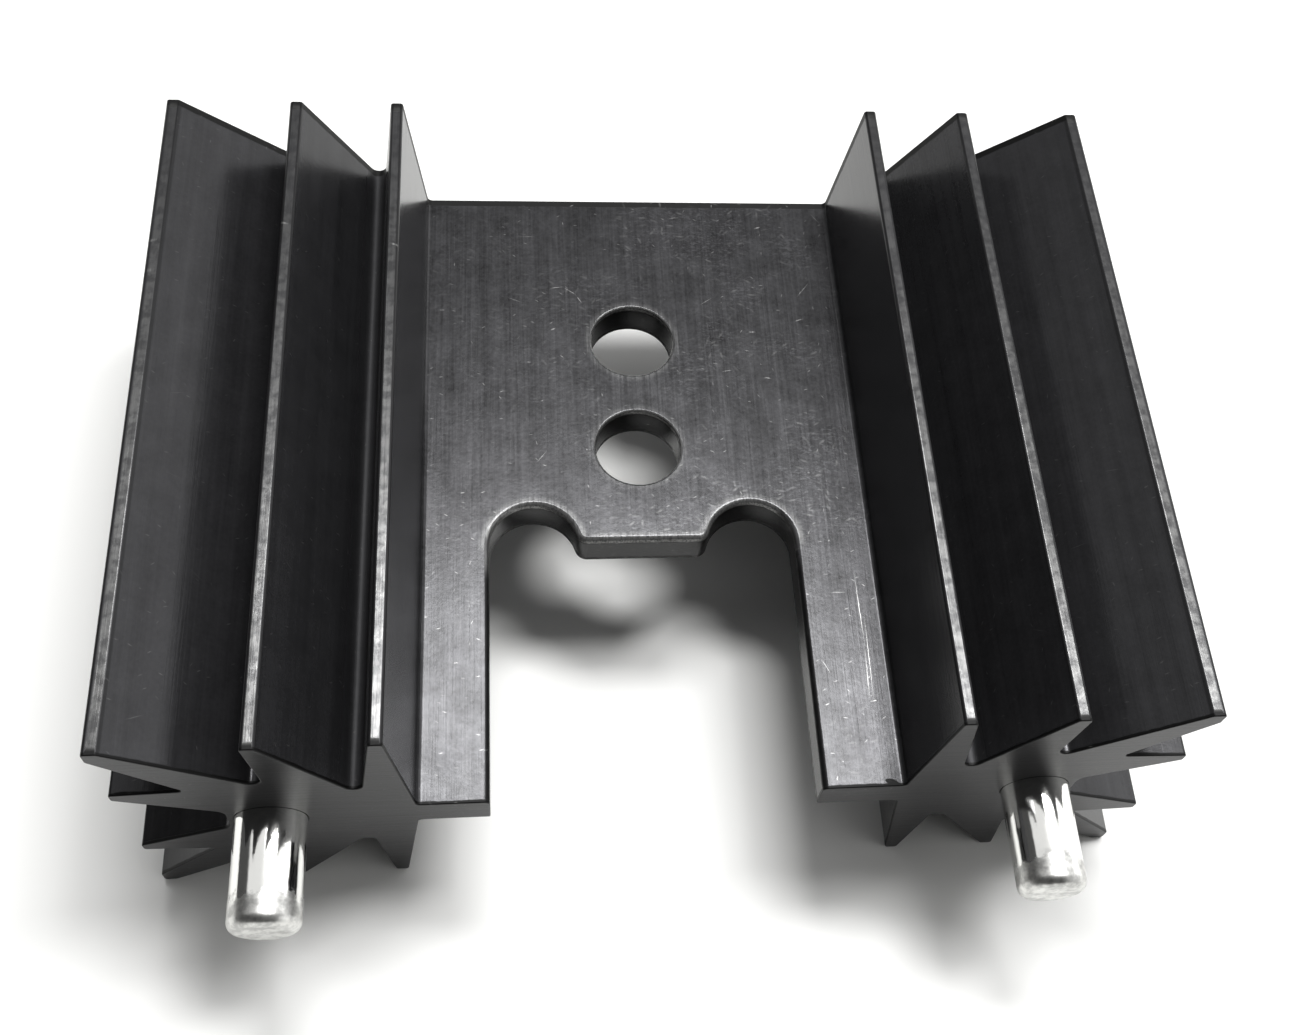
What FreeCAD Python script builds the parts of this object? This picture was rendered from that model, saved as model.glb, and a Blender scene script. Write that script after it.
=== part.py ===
import FreeCAD, Part
import math
import os

import Sketcher

# Heat sink for a board-mounted power device.
# A black anodised aluminium extrusion lies with its web level. A hub runs along each long edge of
# the web and carries eight tapering fins: four above the middle plane and their mirror images below.
# The web is punched with two screw holes and a wide lead slot that is open at the board end, and a
# tinned solder pin is pressed into the board end of each hub.
# X runs across the extrusion, Y along it and away from the pins, and Z up from the lower fin tips.
# The origin is on the surface that the part lies on, at the middle of its overall width and length.

doc = FreeCAD.newDocument("HeatSink")

# Driving sizes, in millimetres.
SIZES = [
    ("PinSpacing", 25.8, "between the two pin axes"),
    ("BodyLength", 25.4, "length that the extrusion is sawn to"),
    ("BodyHeight", 12.7, "across the fin tips, from below to above"),
    ("WebThickness", 1.5, "thickness of the flat web"),
    ("ChannelReach", 4.7, "from a pin axis in to the side of the device channel"),
    ("SideReach", 4.55, "from a pin axis out to the side fin tips"),
    ("FinTip", 0.44, "thickness of a fin at its tip"),
    ("InnerFinLean", 0.67, "how far the inner fin leans outwards from web to tip"),
    ("InnerGapPlace", 3.05, "from a pin axis in to the bottom of the inner gap"),
    ("InnerGapFloor", 1.95, "bottom of the inner gap, above the middle plane"),
    ("MiddleFinPlace", 0.1, "from a pin axis in to the middle fin's tip"),
    ("OuterGapPlace", 0.22, "from a pin axis in to the bottom of the outer gap"),
    ("OuterGapFloor", 3.0, "bottom of the outer gap, above the middle plane"),
    ("CornerFinEdge", 0.6, "height of the corner fin's outer edge"),
    ("ForkReach", 2.2, "from a pin axis out to the fork of corner and side fin"),
    ("ForkHeight", 2.9, "the fork, above the middle plane"),
    ("SideFinPlace", 2.53, "side fin tip, above the middle plane"),
    ("SideGapWall", 0.38, "wall left between the pin's bore and the floor of the side gap"),
    ("SideGapFloor", 1.56, "width of the side gap's floor"),
    ("SideGapRounding", 0.5, "rounding of the side gap's floor corners"),
    ("GapRounding", 0.3, "rounding at the bottom of the inner and outer gaps"),
    ("ForkRounding", 0.12, "rounding at the bottom of the fork"),
    ("TipRounding", 0.12, "rounding of the fin tip corners"),
    ("WebRounding", 0.2, "rounding between web and inner fin"),
    ("PunchShift", 0.25, "how far the punched pattern sits off the middle, towards -X"),
    ("HoleDiameter", 3.2, "screw hole"),
    ("TabToHole", 3.95, "from the slot's straight edge to the nearer screw hole"),
    ("HoleSpacing", 4.85, "between the two screw holes"),
    ("SlotWidth", 11.15, "width of the lead slot"),
    ("SlotDepth", 11.1, "from the board end to the tops of the slot's round corners"),
    ("LobeRadius", 1.6, "radius of the slot's round corners"),
    ("TabReach", 1.5, "how far the web between the round corners reaches back"),
    ("TabRounding", 0.45, "rounding where that web meets a round corner"),
    ("SlotRollOver", 0.2, "rounding that the punch leaves on the slot's upper rim"),
    ("HoleRollOver", 0.1, "rounding that the punch leaves on a screw hole's upper rim"),
    ("PinDiameter", 2.36, "solder pin outside the hub, which ends in a shoulder"),
    ("PinReach", 3.7, "length of pin that stands out"),
    ("PinEndRounding", 0.35, "rounding of the pin's free end"),
    ("ShoulderSeat", 0.1, "depth that the shoulder beds into the hub's sawn end"),
    ("ShankDiameter", 2.0, "thinner shank of the pin, and the bore that it is pressed into"),
    ("ShankReach", 6.4, "from the hub's sawn end to the shank's inner end"),
    ("ShankLeadIn", 0.15, "rounding of the shank's inner end"),
    ("BoreRelief", 0.4, "bore left open beyond the shank's inner end"),
]

sheet = doc.addObject("Spreadsheet::Sheet", "Sizes")
for row, (alias, number, meaning) in enumerate(SIZES, start=1):
    sheet.set("A%d" % row, alias)
    sheet.set("B%d" % row, str(number))
    sheet.set("C%d" % row, meaning)
    sheet.setAlias("B%d" % row, alias)
doc.recompute()


class Size:
    """A length with the formula that it follows."""

    def __init__(self, value, formula):
        self.value = float(value)
        self.formula = formula

    def joined(self, sign, other, value):
        return Size(value, "(%s %s %s)" % (self.formula, sign, as_size(other).formula))

    def __add__(self, other):
        return self.joined("+", other, self.value + as_size(other).value)

    def __sub__(self, other):
        return self.joined("-", other, self.value - as_size(other).value)

    def __mul__(self, other):
        return self.joined("*", other, self.value * as_size(other).value)

    def __truediv__(self, other):
        return self.joined("/", other, self.value / as_size(other).value)

    def __neg__(self):
        return Size(-self.value, "(-1 * %s)" % self.formula)


def as_size(thing):
    return thing if isinstance(thing, Size) else Size(thing, repr(thing))


def size(alias):
    """A driving size from the sheet."""
    return Size(sheet.get(alias), "Sizes." + alias)


ZERO = as_size(0)

# Two places this close together are the same place.
SAME = 1e-4


# Sketch helpers. A sketch numbers the points of an element from 1 and its own two axes down from
# -1, and its origin is the start of its X axis.
START, END, CENTRE = range(1, 4)
X_AXIS, Y_AXIS = range(-1, -3, -1)
ORIGIN = (X_AXIS, START)
UP = FreeCAD.Vector(0, 0, 1)


def new_sketch(body, name, plane):
    """A sketch on one of the body's own origin planes."""
    sketch = body.newObject("Sketcher::SketchObject", name)
    origin_plane = [o for o in body.Origin.OriginFeatures if o.Role == plane][0]
    sketch.AttachmentSupport = [(origin_plane, "")]
    sketch.MapMode = "FlatFace"
    return sketch


def bind(sketch, kind, *geometry, length):
    """A dimension that follows its formula."""
    index = sketch.addConstraint(Sketcher.Constraint(kind, *geometry, length.value))
    name = "%s_%d" % (kind, index)
    sketch.renameConstraint(index, name)
    sketch.setExpression("Constraints." + name, length.formula)


def relate(sketch, kind, *geometry):
    """A relation without a dimension."""
    sketch.addConstraint(Sketcher.Constraint(kind, *geometry))


def fix_point(sketch, point, across, along):
    """Holds a point at its two distances from the sketch's origin."""
    for kind, axis, distance in (("DistanceX", Y_AXIS, across), ("DistanceY", X_AXIS, along)):
        if distance is ZERO:
            relate(sketch, "PointOnObject", *point, axis)
        elif distance.value < 0:
            bind(sketch, kind, *point, *ORIGIN, length=-distance)
        else:
            bind(sketch, kind, *ORIGIN, *point, length=distance)


def vector(across, along):
    return FreeCAD.Vector(across, along, 0)


def arc(centre, radius, first, last):
    """An arc that runs counter-clockwise from the angle first to the angle last."""
    return Part.ArcOfCircle(Part.Circle(centre, UP, radius), first, last)


def rounded_corner(previous, corner, following, radius):
    """Where the rounding of a corner starts and ends, its arc, and whether it turns left."""
    back = (previous - corner).normalize()
    ahead = (following - corner).normalize()
    half_angle = back.getAngle(ahead) / 2
    setback = radius / math.tan(half_angle)
    start = corner + back * setback
    end = corner + ahead * setback
    middle = (back + ahead).normalize()
    centre = corner + middle * (radius / math.sin(half_angle))
    turns_left = back.cross(ahead).z < 0
    outer, inner = (start, end) if turns_left else (end, start)
    first = math.atan2(outer.y - centre.y, outer.x - centre.x)
    last = math.atan2(inner.y - centre.y, inner.x - centre.x)
    if last < first:
        last += 2 * math.pi
    return start, end, arc(centre, radius, first, last), turns_left


def draw_outline(sketch, corners):
    """A closed outline of straight sides. Each corner is (across, along, rounding or None)."""
    points = [vector(across.value, along.value) for across, along, rounding in corners]
    count = len(corners)
    starts, ends, arcs = [], [], []
    for i, (across, along, rounding) in enumerate(corners):
        if rounding is None:
            starts.append(points[i])
            ends.append(points[i])
            arcs.append(None)
        else:
            start, end, curve, turns_left = rounded_corner(
                points[i - 1], points[i], points[(i + 1) % count], rounding.value)
            starts.append(start)
            ends.append(end)
            arcs.append((curve, turns_left))
    sides = [sketch.addGeometry(Part.LineSegment(ends[i], starts[(i + 1) % count])) for i in range(count)]
    for i, (across, along, rounding) in enumerate(corners):
        before, after = sides[i - 1], sides[i]
        if rounding is None:
            relate(sketch, "Coincident", before, END, after, START)
            fix_point(sketch, (after, START), across, along)
        else:
            curve, turns_left = arcs[i]
            bend = sketch.addGeometry(curve)
            near, far = (START, END) if turns_left else (END, START)
            relate(sketch, "Tangent", before, END, bend, near)
            relate(sketch, "Tangent", bend, far, after, START)
            bind(sketch, "Radius", bend, length=rounding)
            corner = sketch.addGeometry(Part.Point(points[i]), True)
            relate(sketch, "PointOnObject", corner, START, before)
            relate(sketch, "PointOnObject", corner, START, after)
            fix_point(sketch, (corner, START), across, along)


def new_body(label):
    body = doc.addObject("PartDesign::Body", label)
    body.Label = label
    return body


def checked_cut(body, pocket):
    """Recomputes and makes sure that the pocket took material away."""
    before = pocket.BaseFeature.Shape.Volume
    doc.recompute()
    if not pocket.Shape.Volume < before:
        raise RuntimeError(pocket.Label + " cuts nothing")


# Places that several pieces share.
half_pins = size("PinSpacing") / 2
half_height = size("BodyHeight") / 2
half_web = size("WebThickness") / 2
board_end = (size("PinReach") - size("BodyLength")) / 2


def place_on_datum(piece, across):
    """Stands a piece at the board end, on the middle plane."""
    piece.setExpression("Placement.Base.x", across.formula)
    piece.setExpression("Placement.Base.y", board_end.formula)
    piece.setExpression("Placement.Base.z", half_height.formula)


# The extrusion.
# One quarter of its section is drawn and mirrored twice, as the section is the same on both sides
# of the web and on both sides of the middle. Corners are given from the middle outwards.
def section_corners():
    tip = size("FinTip")
    tip_round = size("TipRounding")
    gap_round = size("GapRounding")
    channel = half_pins - size("ChannelReach")
    inner_tip = channel + size("InnerFinLean")
    middle_tip = half_pins - size("MiddleFinPlace")
    side = half_pins + size("SideReach")
    side_tip = size("SideFinPlace")
    side_floor = half_pins + size("ShankDiameter") / 2 + size("SideGapWall")
    return [
        (ZERO, ZERO, None),
        (side_floor, ZERO, None),
        (side_floor, size("SideGapFloor") / 2, size("SideGapRounding")),
        (side, side_tip - tip / 2, tip_round),
        (side, side_tip + tip / 2, tip_round),
        (half_pins + size("ForkReach"), size("ForkHeight"), size("ForkRounding")),
        (side, half_height - size("CornerFinEdge"), tip_round),
        (side, half_height, tip_round),
        (side - tip, half_height, tip_round),
        (half_pins - size("OuterGapPlace"), size("OuterGapFloor"), gap_round),
        (middle_tip + tip / 2, half_height, tip_round),
        (middle_tip - tip / 2, half_height, tip_round),
        (half_pins - size("InnerGapPlace"), size("InnerGapFloor"), gap_round),
        (inner_tip + tip, half_height, tip_round),
        (inner_tip, half_height, tip_round),
        (channel, half_web, size("WebRounding")),
        (ZERO, half_web, None),
    ]


def extrude_section(body):
    sketch = new_sketch(body, "QuarterSection", "XZ_Plane")
    draw_outline(sketch, section_corners())
    quarter = body.newObject("PartDesign::Pad", "QuarterExtrusion")
    quarter.Profile = sketch
    quarter.Reversed = True
    quarter.setExpression("Length", size("BodyLength").formula)
    doc.recompute()
    mirrors = body.newObject("PartDesign::MultiTransform", "WholeExtrusion")
    mirrors.Originals = [quarter]
    steps = []
    for name, plane in (("LeftAndRight", "YZ_Plane"), ("AboveAndBelow", "XY_Plane")):
        mirror = body.newObject("PartDesign::Mirrored", name)
        origin_plane = [o for o in body.Origin.OriginFeatures if o.Role == plane][0]
        mirror.MirrorPlane = (origin_plane, [""])
        steps.append(mirror)
    mirrors.Transformations = steps
    body.Tip = mirrors
    doc.recompute()
    return mirrors


def cut_through(body, name, sketch):
    """Punches a sketch of the middle plane through the web, both ways."""
    pocket = body.newObject("PartDesign::Pocket", name)
    pocket.Profile = sketch
    pocket.Type = "ThroughAll"
    pocket.Midplane = True
    checked_cut(body, pocket)
    return pocket


# The lead slot: straight sides, a round corner at each end, and between them the straight edge of
# the web, which reaches back towards the board end.
def punch_slot(body):
    sketch = new_sketch(body, "LeadSlotOutline", "XY_Plane")
    radius = size("LobeRadius")
    rounding = size("TabRounding")
    tab = size("SlotDepth") - size("TabReach")
    lobe_level = size("SlotDepth") - radius
    # The outline runs on past the board end, so that the slot is open there.
    overrun = radius
    left = -(size("SlotWidth") / 2) - size("PunchShift")
    right = size("SlotWidth") / 2 - size("PunchShift")

    # Where the two roundings touch, from the triangle between their centres.
    rise = tab.value + rounding.value - lobe_level.value
    reach = radius.value + rounding.value
    run = math.sqrt(reach ** 2 - rise ** 2)
    slope = math.atan2(rise, run)

    left_lobe = vector(left.value + radius.value, lobe_level.value)
    right_lobe = vector(right.value - radius.value, lobe_level.value)
    left_round = left_lobe + vector(run, rise)
    right_round = right_lobe + vector(-run, rise)
    bottom_left = vector(left.value, -overrun.value)
    bottom_right = vector(right.value, -overrun.value)
    lobe_start = vector(left.value, lobe_level.value)
    lobe_end = vector(right.value, lobe_level.value)
    tab_start = vector(left_round.x, tab.value)
    tab_end = vector(right_round.x, tab.value)
    down = 1.5 * math.pi

    mouth = sketch.addGeometry(Part.LineSegment(bottom_left, bottom_right))
    right_side = sketch.addGeometry(Part.LineSegment(bottom_right, lobe_end))
    right_arc = sketch.addGeometry(arc(right_lobe, radius.value, 0, math.pi - slope))
    right_bend = sketch.addGeometry(arc(right_round, rounding.value, down, 2 * math.pi - slope))
    tab_edge = sketch.addGeometry(Part.LineSegment(tab_end, tab_start))
    left_bend = sketch.addGeometry(arc(left_round, rounding.value, math.pi + slope, down))
    left_arc = sketch.addGeometry(arc(left_lobe, radius.value, slope, math.pi))
    left_side = sketch.addGeometry(Part.LineSegment(lobe_start, bottom_left))

    relate(sketch, "Coincident", mouth, END, right_side, START)
    relate(sketch, "Coincident", left_side, END, mouth, START)
    relate(sketch, "Tangent", right_side, END, right_arc, START)
    relate(sketch, "Tangent", right_arc, END, right_bend, END)
    relate(sketch, "Tangent", right_bend, START, tab_edge, START)
    relate(sketch, "Tangent", tab_edge, END, left_bend, END)
    relate(sketch, "Tangent", left_bend, START, left_arc, START)
    relate(sketch, "Tangent", left_arc, END, left_side, START)
    for side in (mouth, tab_edge):
        relate(sketch, "Horizontal", side)
    for side in (left_side, right_side):
        relate(sketch, "Vertical", side)
    for lobe in (left_arc, right_arc):
        bind(sketch, "Radius", lobe, length=radius)
        bind(sketch, "DistanceY", *ORIGIN, lobe, CENTRE, length=lobe_level)
    for bend in (left_bend, right_bend):
        bind(sketch, "Radius", bend, length=rounding)
    bind(sketch, "DistanceX", mouth, START, *ORIGIN, length=-left)
    bind(sketch, "DistanceX", *ORIGIN, mouth, END, length=right)
    bind(sketch, "DistanceY", mouth, START, *ORIGIN, length=overrun)
    bind(sketch, "DistanceY", *ORIGIN, tab_edge, START, length=tab)
    return cut_through(body, "LeadSlot", sketch)


# The two screw holes, in line on the slot's middle.
def punch_holes(body):
    sketch = new_sketch(body, "ScrewHoleOutlines", "XY_Plane")
    radius = size("HoleDiameter") / 2
    across = -size("PunchShift")
    near = size("SlotDepth") - size("TabReach") + size("TabToHole")
    for along in (near, near + size("HoleSpacing")):
        centre = vector(across.value, along.value)
        hole = sketch.addGeometry(Part.Circle(centre, UP, radius.value))
        bind(sketch, "Radius", hole, length=radius)
        fix_point(sketch, (hole, CENTRE), across, along)
    return cut_through(body, "ScrewHoles", sketch)


# The punch draws the upper rims of the slot and the holes down a little.
def roll_rim(body, name, punched, rounding, belongs):
    """Rounds the upper edges of the web that belong to one opening."""
    level = size("WebThickness").value / 2
    rim = []
    for number, edge in enumerate(punched.Shape.Edges, start=1):
        box = edge.BoundBox
        if abs(box.ZMin - level) < SAME and abs(box.ZMax - level) < SAME and belongs(edge):
            rim.append("Edge%d" % number)
    rolled = body.newObject("PartDesign::Fillet", name)
    rolled.Base = (punched, rim)
    rolled.setExpression("Radius", rounding.formula)
    doc.recompute()
    return rolled


def on_hole(edge):
    """Whether an edge is the rim of a screw hole."""
    return edge.isClosed()


def on_slot(edge):
    """Whether an edge is part of the slot's rim, which turns back well short of the sawn far end."""
    box = edge.BoundBox
    slot_side = size("SlotWidth").value / 2 + size("PunchShift").value
    within = box.XMin > -slot_side - SAME and box.XMax < slot_side + SAME
    return within and SAME < box.YMax < size("SlotDepth").value + SAME and not edge.isClosed()


# Each hub is bored from the board end for a pin's shank, and seats its shoulder.
def bore_hubs(body, name, diameter, depth):
    sketch = new_sketch(body, name + "Outlines", "XZ_Plane")
    radius = diameter / 2
    for across in (-half_pins, half_pins):
        bore = sketch.addGeometry(Part.Circle(vector(across.value, 0), UP, radius.value))
        bind(sketch, "Radius", bore, length=radius)
        fix_point(sketch, (bore, CENTRE), across, ZERO)
    bores = body.newObject("PartDesign::Pocket", name)
    bores.Profile = sketch
    bores.Reversed = False
    bores.setExpression("Length", depth.formula)
    checked_cut(body, bores)
    return bores


def make_finned_body():
    body = new_body("finned_body")
    extrude_section(body)
    punch_slot(body)
    punched = punch_holes(body)
    rolled = roll_rim(body, "SlotRim", punched, size("SlotRollOver"), on_slot)
    roll_rim(body, "HoleRims", rolled, size("HoleRollOver"), on_hole)
    bore_hubs(body, "ShankBores", size("ShankDiameter"), size("ShankReach") + size("BoreRelief"))
    body.Tip = bore_hubs(body, "ShoulderSeats", size("PinDiameter"), size("ShoulderSeat"))
    place_on_datum(body, ZERO)
    return body


# A solder pin: a round pin with a rounded end, whose thinner shank is pressed into the hub until
# the shoulder beds into the sawn end.
def make_pin(label, across):
    body = new_body(label)
    sketch = new_sketch(body, label + "_outline", "XY_Plane")
    radius = size("PinDiameter") / 2
    shank = size("ShankDiameter") / 2
    draw_outline(sketch, [
        (ZERO, -size("PinReach"), None),
        (radius, -size("PinReach"), size("PinEndRounding")),
        (radius, size("ShoulderSeat"), None),
        (shank, size("ShoulderSeat"), None),
        (shank, size("ShankReach"), size("ShankLeadIn")),
        (ZERO, size("ShankReach"), None),
    ])
    turned = body.newObject("PartDesign::Revolution", label + "_turned")
    turned.Profile = sketch
    turned.ReferenceAxis = (sketch, ["V_Axis"])
    turned.Angle = 360
    body.Tip = turned
    place_on_datum(body, across)
    return body


pieces = [
    make_finned_body(),
    make_pin("left_solder_pin", -half_pins),
    make_pin("right_solder_pin", half_pins),
]
doc.recompute()

# Everything has to have come out sound before it is written.
for thing in doc.Objects:
    if "Invalid" in thing.State or "Error" in thing.State:
        raise RuntimeError(thing.Label + " did not recompute")
for piece in pieces:
    if piece.Shape.isNull() or not piece.Shape.isValid():
        raise RuntimeError(piece.Label + " has no sound shape")

os.makedirs("parts", exist_ok=True)
for piece in pieces:
    piece.Shape.exportStep("parts/%s.step" % piece.Label)
    box = piece.Shape.BoundBox
    print("%s: %.3f mm3, %d solid(s), x %.3f to %.3f, y %.3f to %.3f, z %.3f to %.3f" % (
        piece.Label, piece.Shape.Volume, len(piece.Shape.Solids),
        box.XMin, box.XMax, box.YMin, box.YMax, box.ZMin, box.ZMax))
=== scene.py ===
# %% [markdown]
# # A board mount heat sink
#
# The real thing is a short length of black anodised aluminium extrusion. A flat web carries the
# power transistor, a hub with fins runs along each side of it, and a tinned solder pin is pressed
# into the board end of each hub. It is only 35 mm wide, so everything here is small.
#
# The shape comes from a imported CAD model, which is loaded first and never moved. Blender adds what
# CAD has no words for: how the metal was made, how it has worn, and the light that shows it.

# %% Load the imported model
import math

import bmesh
import bpy
from mathutils import Matrix, Vector


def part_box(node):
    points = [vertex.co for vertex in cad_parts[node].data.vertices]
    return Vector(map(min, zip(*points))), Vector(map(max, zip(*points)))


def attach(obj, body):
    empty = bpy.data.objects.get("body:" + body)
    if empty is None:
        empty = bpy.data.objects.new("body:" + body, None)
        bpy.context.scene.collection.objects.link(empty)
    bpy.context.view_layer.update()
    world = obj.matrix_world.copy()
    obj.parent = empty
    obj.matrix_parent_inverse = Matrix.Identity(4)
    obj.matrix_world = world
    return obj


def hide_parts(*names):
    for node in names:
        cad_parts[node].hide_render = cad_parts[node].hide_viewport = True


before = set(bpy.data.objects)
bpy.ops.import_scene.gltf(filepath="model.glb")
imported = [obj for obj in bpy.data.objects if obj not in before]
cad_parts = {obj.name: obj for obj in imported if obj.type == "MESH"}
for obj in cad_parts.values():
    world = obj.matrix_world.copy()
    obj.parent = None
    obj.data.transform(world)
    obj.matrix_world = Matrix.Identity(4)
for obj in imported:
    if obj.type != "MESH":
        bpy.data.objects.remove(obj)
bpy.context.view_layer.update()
bpy.ops.object.select_all(action="DESELECT")

MM = 0.001
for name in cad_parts:
    low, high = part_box(name)
    print(name, "spans", [round(side / MM, 2) for side in high - low], "mm")

# %% [markdown]
# ## The camera
#
# A small object that fills the picture is photographed from close by, and that gives the strong
# perspective: the fins spread towards the viewer. A longer lens from further away would flatten it.
# The camera therefore stands only 6 cm off, and its place, turn and lens were fitted until the
# edges of the CAD model fell on the same edges in the picture. The picture is a crop, so the middle
# of the lens isn't the middle of the frame, and a small shift makes up for that.

# %% Camera
camera_data = bpy.data.cameras.new("close_up")
camera_data.sensor_fit = "HORIZONTAL"
camera_data.sensor_width = 36
camera_data.lens = 43.455
camera_data.shift_x = -0.0514
camera_data.shift_y = -0.0420
camera_data.clip_start = 1 * MM
camera = bpy.data.objects.new("close_up", camera_data)
bpy.context.scene.collection.objects.link(camera)

# Where the fit puts the camera, and the camera's own right, up and back directions.
stand = Vector((-4.960, -27.627, 57.608)) * MM
right = Vector((0.991525, -0.076066, 0.105324))
up = Vector((0.012295, 0.861987, 0.506783))
back = Vector((-0.129337, -0.501193, 0.855617))
turn = Matrix((right, up, back)).transposed()
camera.matrix_world = Matrix.LocRotScale(stand, turn, None)
bpy.context.scene.camera = camera
print("the camera stands", round(stand.length / MM), "mm off")
print("it looks down at", round(math.degrees(math.asin(back.z)), 1), "degrees")

# %% [markdown]
# ## The finned body, with its edges broken
#
# A CAD solid has edges without any width, and no real edge is like that: the saw, the punch and
# then the etch bath take a few hundredths of a millimetre off, and each such edge catches a thin
# line of light. The fins could be modelled again from nothing, but their shape is right already.
# So a copy of the CAD mesh is merged into clean faces, and a Bevel modifier breaks the square edges
# of that copy. The rounded fin tips and punched rims are in the CAD model, and are left as they are.

# %% Merge a copy of the body's mesh
body = bpy.data.objects.new("broken_edge_body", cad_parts["finned_body"].data.copy())
bpy.context.scene.collection.objects.link(body)
bpy.context.view_layer.objects.active = body
body.select_set(True)

# Corners within a thousandth of a millimetre become one, and so do triangles that lie within half
# a degree of one plane. The normals stored in the CAD mesh no longer fit, and are dropped.
bpy.ops.object.mode_set(mode="EDIT")
bpy.ops.mesh.select_all(action="SELECT")
bpy.ops.mesh.remove_doubles(threshold=0.001 * MM)
bpy.ops.mesh.dissolve_limited(angle_limit=math.radians(0.5))
bpy.ops.mesh.customdata_custom_splitnormals_clear()
bpy.ops.object.mode_set(mode="OBJECT")
print(body.name, "has", len(body.data.polygons), "faces after merging")

# %% Break its square edges
# Only edges that turn by more than 60 degrees are broken, which leaves the rounded ones alone.
EDGE_BREAK = 0.045 * MM
break_edges = body.modifiers.new("broken_edges", "BEVEL")
break_edges.width = EDGE_BREAK
break_edges.segments = 3
break_edges.limit_method = "ANGLE"
break_edges.angle_limit = math.radians(60)
break_edges.use_clamp_overlap = False
bpy.ops.object.modifier_apply(modifier=break_edges.name)
bpy.ops.object.shade_smooth_by_angle(angle=math.radians(40))
print(body.name, "has", len(body.data.polygons), "faces with its edges broken")

# %% Keep its flat faces flat
# The narrow faces of a broken edge would bend the shading of the wide face beside them, so each
# corner takes its normal from the larger face.
keep_flat = body.modifiers.new("flat_faces_stay_flat", "WEIGHTED_NORMAL")
keep_flat.keep_sharp = True
bpy.ops.object.modifier_apply(modifier=keep_flat.name)
body.select_set(False)
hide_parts("finned_body")
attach(body, "root")
print(body.name, "spans", [round(side / MM, 2) for side in body.dimensions], "mm")

# %% [markdown]
# ## The solder pins
#
# Each pin is wire cut to length, with a rounded end that finds its hole in the board and a thinner
# shank that is pressed into the hub. Tin is nearly a mirror, and a mirror shows every flat of a
# coarse cylinder, so the pins are modelled with more sides than the CAD mesh has. A cylinder is
# added at its place, the rim of its free end is bevelled round, and the other end is inset and
# extruded into the shank.

# %% Sizes of a pin
PIN_SPACING = 25.8 * MM
PIN_HEIGHT = 6.35 * MM
PIN_RADIUS = 1.18 * MM
PIN_TIP = -14.55 * MM
PIN_SHOULDER = -10.75 * MM
SHANK_RADIUS = 1.0 * MM
SHANK_END = -4.45 * MM
LEAD_IN = 0.15 * MM
END_ROUNDING = 0.35 * MM
PIN_SIDES = 72
print("a pin is", round((PIN_SHOULDER - PIN_TIP) / MM, 2), "mm long up to its shoulder")


# %% Pick the cap of a pin
def select_cap(piece, towards):
    """In edit mode, select only the flat faces that look along Y, towards +1 or -1."""
    shape = bmesh.from_edit_mesh(piece.data)
    bpy.ops.mesh.select_all(action="DESELECT")
    for face in shape.faces:
        face.select_set(face.normal.y * towards > 0.99)
    bmesh.update_edit_mesh(piece.data)
    print(piece.name, "has", sum(face.select for face in shape.faces), "face selected for shaping")


# %% Model a pin
def solder_pin(name, x):
    """One pin: a rounded wire end, a shoulder, and a thinner shank that narrows at its end."""
    bpy.ops.mesh.primitive_cylinder_add(
        vertices=PIN_SIDES, radius=PIN_RADIUS, depth=PIN_SHOULDER - PIN_TIP,
        location=(x, (PIN_TIP + PIN_SHOULDER) / 2, PIN_HEIGHT), rotation=(math.radians(90), 0, 0))
    pin = bpy.context.object
    pin.name = pin.data.name = name
    bpy.ops.object.transform_apply(location=True, rotation=True, scale=True)
    bpy.ops.object.mode_set(mode="EDIT")
    bpy.ops.mesh.select_mode(type="FACE")
    select_cap(pin, -1)
    bpy.ops.mesh.bevel(offset=END_ROUNDING, segments=8, profile=0.5)
    select_cap(pin, +1)
    bpy.ops.mesh.inset(thickness=PIN_RADIUS - SHANK_RADIUS)
    bpy.ops.mesh.extrude_region_move(
        TRANSFORM_OT_translate={"value": (0, SHANK_END - LEAD_IN - PIN_SHOULDER, 0)})
    bpy.ops.mesh.extrude_region_move(TRANSFORM_OT_translate={"value": (0, LEAD_IN, 0)})
    narrow = (SHANK_RADIUS - LEAD_IN) / SHANK_RADIUS
    bpy.ops.transform.resize(
        value=(narrow, 1, narrow), center_override=(x, SHANK_END, PIN_HEIGHT))
    bpy.ops.mesh.select_all(action="SELECT")
    bpy.ops.mesh.normals_make_consistent(inside=False)
    bpy.ops.object.mode_set(mode="OBJECT")
    bpy.ops.object.shade_smooth_by_angle(angle=math.radians(30))
    pin.select_set(False)
    return pin


# %% Both pins
pins = {}
for side, x in (("left", -PIN_SPACING / 2), ("right", PIN_SPACING / 2)):
    pin = solder_pin(side + "_tinned_pin", x)
    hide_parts(side + "_solder_pin")
    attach(pin, "root")
    pins[side] = pin
    print(pin.name, "spans", [round(length / MM, 2) for length in pin.dimensions], "mm")

# %% [markdown]
# ## Colours and nodes
#
# A colour given in hex is an sRGB value, but a shader adds and multiplies light, which needs
# linear values. One function turns a hex colour into a linear one. A second one adds a node, sets
# what it should be, and fills or links its inputs, so that each material reads as a short list.

# %% Helpers for materials
def linear(hex_colour):
    """A linear RGBA colour from an sRGB hex value such as "#8a8b8c"."""
    channels = [int(hex_colour[i:i + 2], 16) / 255 for i in (1, 3, 5)]
    return [c / 12.92 if c <= 0.04045 else ((c + 0.055) / 1.055) ** 2.4 for c in channels] + [1.0]


def add_node(tree, kind, inputs=None, **settings):
    """A new node with its settings, whose inputs get either a value or a link."""
    node = tree.nodes.new("ShaderNode" + kind)
    for setting, value in settings.items():
        setattr(node, setting, value)
    for socket, value in (inputs or {}).items():
        if isinstance(value, bpy.types.NodeSocket):
            tree.links.new(value, node.inputs[socket])
        else:
            node.inputs[socket].default_value = value
    return node


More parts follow.
